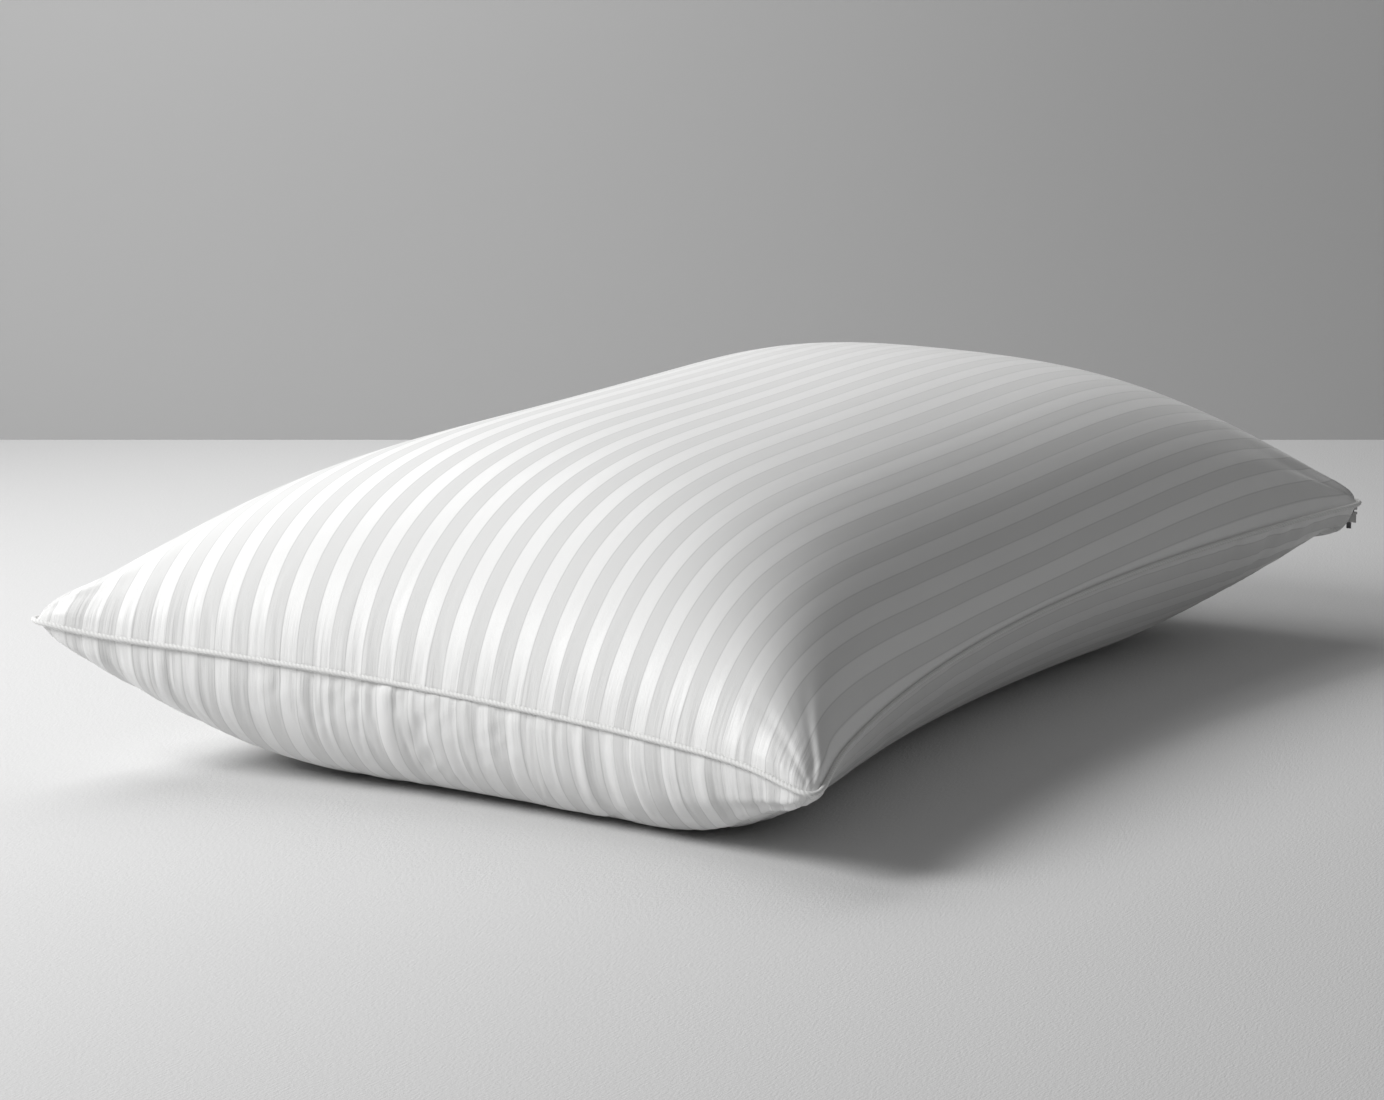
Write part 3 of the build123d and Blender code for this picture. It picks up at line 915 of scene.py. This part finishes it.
PLATE = 0.0008
PLATE_BEVEL = 0.00025
PLATE_GAP = 0.0011          # from the front plate to the bail wire
NECK = 0.0008
NECK_START, NECK_END = 0.0002, 0.0026   # from the end of the plates
NECK_BEVEL = 0.00012
POST = 0.0009
POST_BEVEL = 0.0002
BAIL_SPAN = 0.0056
BAIL_WIRE = 0.0005          # radius of the wire
EYE_INNER = 0.0008
EYE_OUTER = 0.0013
TAB_THICKNESS = 0.0010
TAB_BEVEL = 0.00045


def slider_piece():
    """The slider: two plates joined by a neck, and a bail for the pull."""
    low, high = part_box("zipper_slider")
    centre = (low + high) / 2
    front = high.x - 2 * BAIL_WIRE - PLATE_GAP - PLATE
    bm = bmesh.new()
    for x in (low.x, front):
        rounded_block(bm, (x, low.y, low.z), (x + PLATE, high.y, high.z), PLATE_BEVEL)
    rounded_block(bm, (low.x + PLATE / 2, high.y - NECK_END, centre.z - NECK / 2),
                  (front + PLATE / 2, high.y - NECK_START, centre.z + NECK / 2), NECK_BEVEL)
    bail_x = high.x - BAIL_WIRE
    for side in (-1, 1):
        y = centre.y + side * (BAIL_SPAN - POST) / 2
        rounded_block(bm, (front + PLATE / 2, y - POST / 2, centre.z - BAIL_WIRE),
                      (high.x, y + POST / 2, centre.z + BAIL_WIRE), POST_BEVEL)
    cylinder_along_y(bm, (bail_x, centre.y, centre.z), BAIL_WIRE, BAIL_SPAN - POST)
    return smooth_object("zip_slider", bm)


def pull_piece():
    """The pull: an eye round the bail and a flat tab with a rounded end."""
    low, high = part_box("zipper_pull")
    centre_y = (low.y + high.y) / 2
    eye_x, eye_z = (low.x + high.x) / 2, high.z - EYE_OUTER
    bm = bmesh.new()
    made = bmesh.ops.create_grid(bm, x_segments=1, y_segments=1, size=0.5)
    profile = made["verts"]
    bmesh.ops.rotate(bm, verts=profile, cent=(0, 0, 0),
                     matrix=Matrix.Rotation(math.pi / 2, 3, "Y"))
    bmesh.ops.scale(bm, verts=profile, vec=(1, high.y - low.y, EYE_OUTER - EYE_INNER))
    bmesh.ops.translate(bm, verts=profile,
                        vec=(eye_x, centre_y, eye_z + (EYE_OUTER + EYE_INNER) / 2))
    faces = list(bm.faces)
    edges = list(bm.edges)
    bmesh.ops.delete(bm, geom=faces, context="FACES_ONLY")
    bmesh.ops.spin(bm, geom=profile + edges, cent=(eye_x, centre_y, eye_z),
                   axis=(0, 1, 0), angle=2 * math.pi, steps=24, use_merge=True)
    bmesh.ops.recalc_face_normals(bm, faces=bm.faces)
    rounded_block(bm, (eye_x - TAB_THICKNESS / 2, low.y, low.z),
                  (eye_x + TAB_THICKNESS / 2, high.y, eye_z - EYE_OUTER * 0.8), TAB_BEVEL)
    return smooth_object("zip_pull", bm)


# ------------------------------------------------------------------------- materials
class Shading:
    """Writes down the nodes of one material."""

    def __init__(self, name, roughness, sheen=0.0, metallic=0.0):
        self.material = bpy.data.materials.new(name)
        self.material.use_nodes = True
        self.tree = self.material.node_tree
        self.shader = self.tree.nodes["Principled BSDF"]
        self.put(self.shader, {"Roughness": roughness, "Metallic": metallic,
                               "Sheen Weight": sheen, "Sheen Roughness": 0.4})

    def put(self, node, values):
        for name, value in values.items():
            socket = node.inputs[name]
            if isinstance(value, bpy.types.NodeSocket):
                self.tree.links.new(value, socket)
            else:
                socket.default_value = value

    def node(self, kind, values=None, **settings):
        node = self.tree.nodes.new("ShaderNode" + kind)
        for name, value in settings.items():
            setattr(node, name, value)
        self.put(node, values or {})
        return node

    def math(self, operation, *values):
        node = self.node("Math", operation=operation)
        self.put(node, dict(enumerate(values)))
        return node.outputs[0]

    def step(self, value, low, high, start=0.0, end=1.0):
        node = self.node("MapRange", {"Value": value, "From Min": low, "From Max": high,
                                      "To Min": start, "To Max": end},
                         interpolation_type="SMOOTHSTEP")
        return node.outputs["Result"]

    def place(self, uv_map=None, scale=(1.0, 1.0, 1.0)):
        """The point's own coordinates, in metres, times a scale."""
        if uv_map:
            source = self.node("UVMap", uv_map=uv_map).outputs["UV"]
        else:
            source = self.node("TexCoord").outputs["Object"]
        scaled = self.node("VectorMath", {0: source, 1: scale}, operation="MULTIPLY")
        return scaled.outputs[0]

    def noise(self, place, detail=2.0):
        node = self.node("TexNoise", {"Vector": place, "Scale": 1.0, "Detail": detail,
                                      "Roughness": 0.55})
        return node.outputs["Fac"]

    def mix(self, share, first, second):
        node = self.node("Mix", data_type="RGBA")
        self.put(node, {0: share, 6: first, 7: second})
        return node.outputs[2]

    def colour(self, colour, varied, depth):
        """Paints the shader, darkened a little where varied is high."""
        dark = (*[channel * (1 - depth) for channel in colour], 1)
        self.put(self.shader, {"Base Color": self.mix(varied, (*colour, 1), dark)})

    def bump(self, height, distance, under=None):
        values = {"Height": height, "Distance": distance, "Strength": 1.0}
        if under is not None:
            values["Normal"] = under
        return self.node("Bump", values).outputs["Normal"]

    def surface(self, normal):
        self.put(self.shader, {"Normal": normal})
        return self.material


SATIN_ROUGHNESS, MATT_ROUGHNESS = 0.42, 0.80
SATIN_GLOSS, MATT_GLOSS = 0.46, 0.20
STRIPE_BLUR = 0.0002        # half of the step between a satin and a matt stripe
STRIPE_WANDER = 0.0012      # how far a stripe strays from straight
EDGE_SHADE_HALF_WIDTH = 0.0006          # half the width of the painted shade line where two stripes meet
# how dark the painted shade line between stripes is
EDGE_SHADE_DEPTH = 0.16
END_PUCKER, SIDE_PUCKER = 0.040, 0.014      # how far in from its seam a pucker runs


def sateen_material():
    """Satin and matt stripes along the cloth, with weave, slubs, small puckers and a painted
    shade line where two stripes meet.
    """
    z, paint = sizes(), colours()
    shade = Shading("sateen_stripe", 0.6, sheen=0.12)
    cloth = shade.node("UVMap", uv_map="cloth").outputs["UV"]
    parts = shade.node("SeparateXYZ", {"Vector": cloth})
    along, across = parts.outputs["X"], parts.outputs["Y"]
    wander = shade.noise(shade.place("cloth", (9.0, 9.0, 1.0)))
    wander = shade.math("SUBTRACT", wander, 0.5)
    moved = shade.math("MULTIPLY_ADD", wander, STRIPE_WANDER, across)
    wave = shade.math("PINGPONG", moved, z.stripe_width)
    middle = z.stripe_width / 2
    satin = shade.step(wave, middle - STRIPE_BLUR, middle + STRIPE_BLUR)
    off_edge = shade.math("ABSOLUTE", shade.math("SUBTRACT", wave, middle))
    # painted shade: a thin dark line where two stripes meet, standing in for the shade in
    # the groove between them
    line = shade.step(off_edge, STRIPE_BLUR, EDGE_SHADE_HALF_WIDTH, 1.0, 0.0)
    slub = shade.noise(shade.place("cloth", (60.0, 2400.0, 1.0)))
    cloudy = shade.noise(shade.place("cloth", (14.0, 30.0, 1.0)))
    base = shade.mix(satin, (*paint.matt, 1), (*paint.satin, 1))
    tint = shade.math("MULTIPLY_ADD", slub, 0.035, shade.math("MULTIPLY", cloudy, 0.03))
    # darkening from the painted shade line between stripes, plus the slub and cloud tint of
    # the cloth
    painted_shade_and_tint = shade.math("MULTIPLY_ADD", line, EDGE_SHADE_DEPTH, tint)
    base = shade.mix(painted_shade_and_tint, base, (0.10, 0.10, 0.10, 1))
    smoother = SATIN_ROUGHNESS - MATT_ROUGHNESS
    rough = shade.math("MULTIPLY_ADD", satin, smoother, MATT_ROUGHNESS)
    rough = shade.math("MULTIPLY_ADD", slub, 0.08, rough)
    gloss = shade.math("MULTIPLY_ADD", satin, SATIN_GLOSS - MATT_GLOSS, MATT_GLOSS)
    shade.put(shade.shader, {"Base Color": base, "Roughness": rough,
                             "Specular IOR Level": gloss})
    weave = shade.noise(shade.place("cloth", (1500.0, 3000.0, 1.0)), 1.0)
    normal = shade.bump(weave, 0.00010)
    normal = shade.bump(slub, 0.00006, under=normal)
    normal = seam_pucker_bump(shade, along, across, normal)
    return shade.surface(normal)


def seam_pucker_bump(shade, along, across, normal):
    """Fine puckers at right angles to the seams, which die away inwards."""
    z = sizes()
    ends = shade.math("SUBTRACT", z.cut_length / 2, shade.math("ABSOLUTE", along))
    sides = shade.math("SUBTRACT", z.cut_width / 2, shade.math("ABSOLUTE", across))
    for inward, reach, scale, depth in (
        (ends, END_PUCKER, (14.0, 300.0, 1.0), 0.0007),
        (sides, SIDE_PUCKER, (230.0, 14.0, 1.0), 0.0004),
    ):
        pucker = shade.noise(shade.place("cloth", scale))
        near = shade.step(inward, 0.0, reach, 1.0, 0.0)
        normal = shade.bump(shade.math("MULTIPLY", pucker, near), depth, under=normal)
    return normal


def twill_material(name, colour):
    """Bias-cut twill: fine slanting ribs along a tube."""
    shade = Shading(name, 0.72, sheen=0.15)
    turn = shade.place("tube", (1.0, 0.8, 1.0))
    ribs = shade.node("TexWave", {"Vector": turn, "Scale": 260.0, "Distortion": 0.6,
                                  "Detail": 1.0}, bands_direction="DIAGONAL")
    soft = shade.noise(shade.place("tube", (150.0, 400.0, 1.0)))
    shade.colour(colour, shade.math("MULTIPLY", ribs.outputs["Fac"], soft), 0.18)
    normal = shade.bump(ribs.outputs["Fac"], 0.00012)
    return shade.surface(shade.bump(soft, 0.0002, under=normal))


def woven_material(name, colour, pitch):
    """A plain weave of the given thread pitch in the object's own coordinates."""
    shade = Shading(name, 0.8, sheen=0.1)
    scale = math.pi / pitch / 10
    heights = []
    for direction in ("X", "Y", "Z"):
        wave = shade.node("TexWave", {"Vector": shade.place(), "Scale": scale,
                                      "Distortion": 0.4}, bands_direction=direction)
        heights.append(wave.outputs["Fac"])
    woven = shade.math("MULTIPLY", heights[1], shade.math("MAXIMUM", heights[0], heights[2]))
    cloudy = shade.noise(shade.place(None, (40.0, 40.0, 40.0)))
    shade.colour(colour, shade.math("MULTIPLY_ADD", woven, 0.4, cloudy), 0.10)
    return shade.surface(shade.bump(woven, 0.0001))


def grained(shade, colour, scale, detail, depth, height):
    """A colour and a surface that follow one noise; returns the noise as well."""
    grain = shade.noise(shade.place(None, scale), detail)
    shade.colour(colour, grain, depth)
    return shade.surface(shade.bump(grain, height)), grain


def fibre_material(name, colour, scale):
    """Loose or twisted fibres."""
    shade = Shading(name, 0.9, sheen=0.3)
    return grained(shade, colour, (scale, scale * 0.4, scale), 5.0, 0.15, 0.0004)[0]


def coil_material():
    """Slightly glossy nylon."""
    shade = Shading("zip_coil", 0.38)
    return grained(shade, colours().coil, (300.0, 300.0, 300.0), 2.0, 0.12, 0.00003)[0]


def metal_material():
    """Dark plated metal with fine polishing marks."""
    shade = Shading("zip_metal", 0.36, metallic=1.0)
    material, marks = grained(shade, colours().metal, (2500.0, 2500.0, 500.0), 3.0,
                              0.2, 0.00002)
    rough = shade.math("MULTIPLY_ADD", marks, 0.15, 0.30)
    shade.put(shade.shader, {"Roughness": rough})
    return material


# ------------------------------------------------------------------- pieces that replace nodes
def declare(piece, material, body, slot, *nodes):
    """Paints a piece, parents it to the empty of the body it rides on, and hides the nodes
    it stands for.
    """
    piece.data.materials.clear()
    piece.data.materials.append(material)
    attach(piece, body)
    if nodes:
        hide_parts(*nodes)
    return piece


def repaint(node, material):
    """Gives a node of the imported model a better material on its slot."""
    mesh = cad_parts[node].data
    for i in range(len(mesh.materials)):
        mesh.materials[i] = material


PIPING_RINGS = 0.0025       # spacing of the sleeve's rings
CORD_SHARE = 0.70           # of the sleeve's radius


class PILLOW_OT_cover(bpy.types.Operator):
    """Make the two striped panels of the cover, filled out and gathered"""
    bl_idname = "pillow.cover"
    bl_label = "Make cover"

    def execute(self, context):
        cloth = sateen_material()
        for panel, node in (("top", "cover_top_panel"), ("under", "cover_bottom_panel")):
            piece = cover_panel(panel, movements())
            declare(piece, cloth, "cover", "sateen_stripe", node)
        return {"FINISHED"}


class PILLOW_OT_inner(bpy.types.Operator):
    """Make the inner pillow: its ticking, its seam thread and its fibre fill"""
    bl_idname = "pillow.inner"
    bl_label = "Make inner pillow"

    def execute(self, context):
        ticking = woven_material("ticking", colours().ticking, 0.0006)
        for panel, node in (("top", "liner_top_panel"), ("under", "liner_bottom_panel")):
            piece = inner_panel(f"liner_{panel}", panel, LINER_INSET, LINER_DEPTH)
            declare(piece, ticking, "cover", "ticking", node)
        fill = fibre_filling()
        declare(fill, fibre_material("fibre", colours().fibre, 160.0), "cover",
                "fibre", "fibre_fill")
        path = even_path(seam_loop(LINER_INSET), LINER_THREAD_RINGS, True)
        thread = tube("liner_seam_stitching", path, LINER_THREAD_RADIUS, 6, closed=True)
        declare(thread, fibre_material("liner_thread", colours().thread, 900.0), "cover",
                "thread", "liner_seam_thread")
        return {"FINISHED"}


class PILLOW_OT_piping(bpy.types.Operator):
    """Make the piping: its bias sleeve, its cord and its stitches"""
    bl_idname = "pillow.piping"
    bl_label = "Make piping"

    def execute(self, context):
        z, paint = sizes(), colours()
        path = piping_path(PIPING_RINGS)
        sleeve = tube("piping_bias_sleeve", path, z.piping_radius, 12, closed=True)
        declare(sleeve, twill_material("piping_cloth", paint.piping), "cover",
                "piping_cloth", "piping_sleeve")
        cord = tube("piping_core", path, z.piping_radius * CORD_SHARE, 8, closed=True)
        declare(cord, twill_material("cotton_cord", paint.piping), "cover",
                "cotton_cord", "piping_cord")
        stitches = piping_stitches(path)
        declare(stitches, fibre_material("thread", paint.thread, 2000.0), "cover",
                "thread", "edge_seam_thread")
        return {"FINISHED"}


class PILLOW_OT_zip(bpy.types.Operator):
    """Make the end zip: tapes, coils, stitches, stops, slider and pull"""
    bl_idname = "pillow.zip"
    bl_label = "Make zip"

    def execute(self, context):
        paint = colours()
        tape = woven_material("zip_tape", paint.tape, 0.0007)
        metal, nylon = metal_material(), coil_material()
        thread = fibre_material("zip_thread", paint.thread, 2000.0)
        declare(upper_tape(), tape, "cover", "zip_tape", "zipper_upper_tape")
        repaint("zipper_lower_tape", tape)
        for node in ("zipper_upper_coil", "zipper_lower_coil"):
            declare(coil(node), nylon, "cover", "zip_coil", node)
        declare(tape_stitches(), thread, "cover", "thread", "zipper_stitching")
        for node in ("zipper_top_stops", "zipper_bottom_stop"):
            repaint(node, metal)
        declare(slider_piece(), metal, "slider", "zip_metal", "zipper_slider")
        declare(pull_piece(), metal, "pull", "zip_metal", "zipper_pull")
        return {"FINISHED"}


# ----------------------------------------------------------------------------- stage
VIEW_FROM = Vector((-2.1421, -1.2193, 0.5555))
VIEW_PITCH = math.radians(10.82)
VIEW_YAW = math.radians(59.69)
LENS = 115.5
WALL_DISTANCE = 3.356       # from the camera, along the floor
WALL_SIZE, FLOOR_SIZE = 4.0, 6.0        # half of each
WALL_SINK = 0.002           # foot of the wall below the floor
SKY = 0.20
# name, place, size, power, what it is aimed at
LIGHTS = (
    ("key", (-1.45, 1.10, 1.32), (0.9, 0.9), 37.5, (0.0, 0.0, 0.08)),
    ("back", (0.25, 0.75, 0.95), (1.4, 0.5), 8.5, (0.1, -0.1, 0.10)),
)


def level_ahead():
    return Vector((math.sin(VIEW_YAW), math.cos(VIEW_YAW), 0))


def add_camera():
    data = bpy.data.cameras.new("camera")
    data.sensor_width, data.lens, data.clip_end = 36, LENS, 100
    camera = new_object("camera", data)
    ahead = level_ahead() * math.cos(VIEW_PITCH) - Vector((0, 0, math.sin(VIEW_PITCH)))
    camera.location = VIEW_FROM
    camera.rotation_euler = ahead.to_track_quat("-Z", "Y").to_euler()
    bpy.context.scene.camera = camera


def add_area_light(name, place, size, power, target):
    data = bpy.data.lights.new(name, "AREA")
    data.shape = "RECTANGLE"
    data.size, data.size_y = size
    data.energy = power
    light = new_object(name, data)
    light.location = place
    aim = Vector(target) - Vector(place)
    light.rotation_euler = aim.to_track_quat("-Z", "Y").to_euler()


def add_sky(strength):
    world = bpy.data.worlds.new("studio")
    bpy.context.scene.world = world
    world.use_nodes = True
    back = world.node_tree.nodes["Background"]
    back.inputs["Color"].default_value = (1, 1, 1, 1)
    back.inputs["Strength"].default_value = strength


def plane(name, size):
    bm = bmesh.new()
    bmesh.ops.create_grid(bm, x_segments=1, y_segments=1, size=size)
    return smooth_object(name, bm)


def floor_material():
    """Pale smooth-woven cloth."""
    shade = Shading("stage_floor", 0.9)
    return grained(shade, colours().floor, (300.0, 900.0, 1.0), 3.0, 0.06, 0.0003)[0]


def wall_material():
    """Grey, and seen from the front only."""
    shade = Shading("stage_wall", 0.9)
    cloudy = shade.noise(shade.place(None, (1.0, 1.0, 1.0)))
    shade.colour(colours().wall, cloudy, 0.1)
    clear = shade.node("BsdfTransparent")
    back = shade.node("NewGeometry").outputs["Backfacing"]
    mixed = shade.node("MixShader", {0: back, 1: shade.shader.outputs[0],
                                     2: clear.outputs[0]})
    output = shade.tree.nodes["Material Output"]
    shade.put(output, {"Surface": mixed.outputs[0]})
    return shade.material


def add_wall():
    """The backdrop across the camera's view; it casts no shadow on what is behind it."""
    wall = plane("backdrop", WALL_SIZE)
    wall.data.materials.append(wall_material())
    ahead = level_ahead()
    place = VIEW_FROM + ahead * WALL_DISTANCE
    place.z = WALL_SIZE - WALL_SINK
    turn = (-ahead).to_track_quat("Z", "Y").to_matrix().to_4x4()
    wall.data.transform(Matrix.Translation(place) @ turn)
    wall.visible_shadow = wall.visible_diffuse = False
    return wall


class PILLOW_OT_stage(bpy.types.Operator):
    """Set up the floor, the backdrop, the soft lights and the camera"""
    bl_idname = "pillow.stage"
    bl_label = "Set up studio"

    def execute(self, context):
        floor = plane("floor", FLOOR_SIZE)
        floor.data.materials.append(floor_material())
        add_wall()
        for light in LIGHTS:
            add_area_light(*light)
        add_sky(SKY)
        add_camera()
        context.scene.view_settings.view_transform = "Standard"
        return {"FINISHED"}


class PILLOW_PT_panel(bpy.types.Panel):
    bl_idname = "PILLOW_PT_panel"
    bl_label = "Bed pillow"
    bl_space_type = "VIEW_3D"
    bl_region_type = "UI"
    bl_category = "Pillow"

    def draw(self, context):
        for group in (context.scene.pillow_sizes, context.scene.pillow_colours):
            box = self.layout.box()
            for name in group.__annotations__:
                box.prop(group, name)
        for operator in OPERATORS:
            self.layout.operator(operator.bl_idname)


OPERATORS = (PILLOW_OT_cover, PILLOW_OT_inner, PILLOW_OT_piping, PILLOW_OT_zip,
             PILLOW_OT_stage)
CLASSES = (PillowSizes, PillowColours, *OPERATORS, PILLOW_PT_panel)


def register():
    for cls in CLASSES:
        bpy.utils.register_class(cls)
    bpy.types.Scene.pillow_sizes = PointerProperty(type=PillowSizes)
    bpy.types.Scene.pillow_colours = PointerProperty(type=PillowColours)


def unregister():
    del bpy.types.Scene.pillow_colours
    del bpy.types.Scene.pillow_sizes
    for cls in reversed(CLASSES):
        bpy.utils.unregister_class(cls)


def main():
    register()
    bpy.ops.pillow.cover()
    bpy.ops.pillow.inner()
    bpy.ops.pillow.piping()
    bpy.ops.pillow.zip()
    bpy.ops.pillow.stage()


if __name__ == "__main__":
    main()
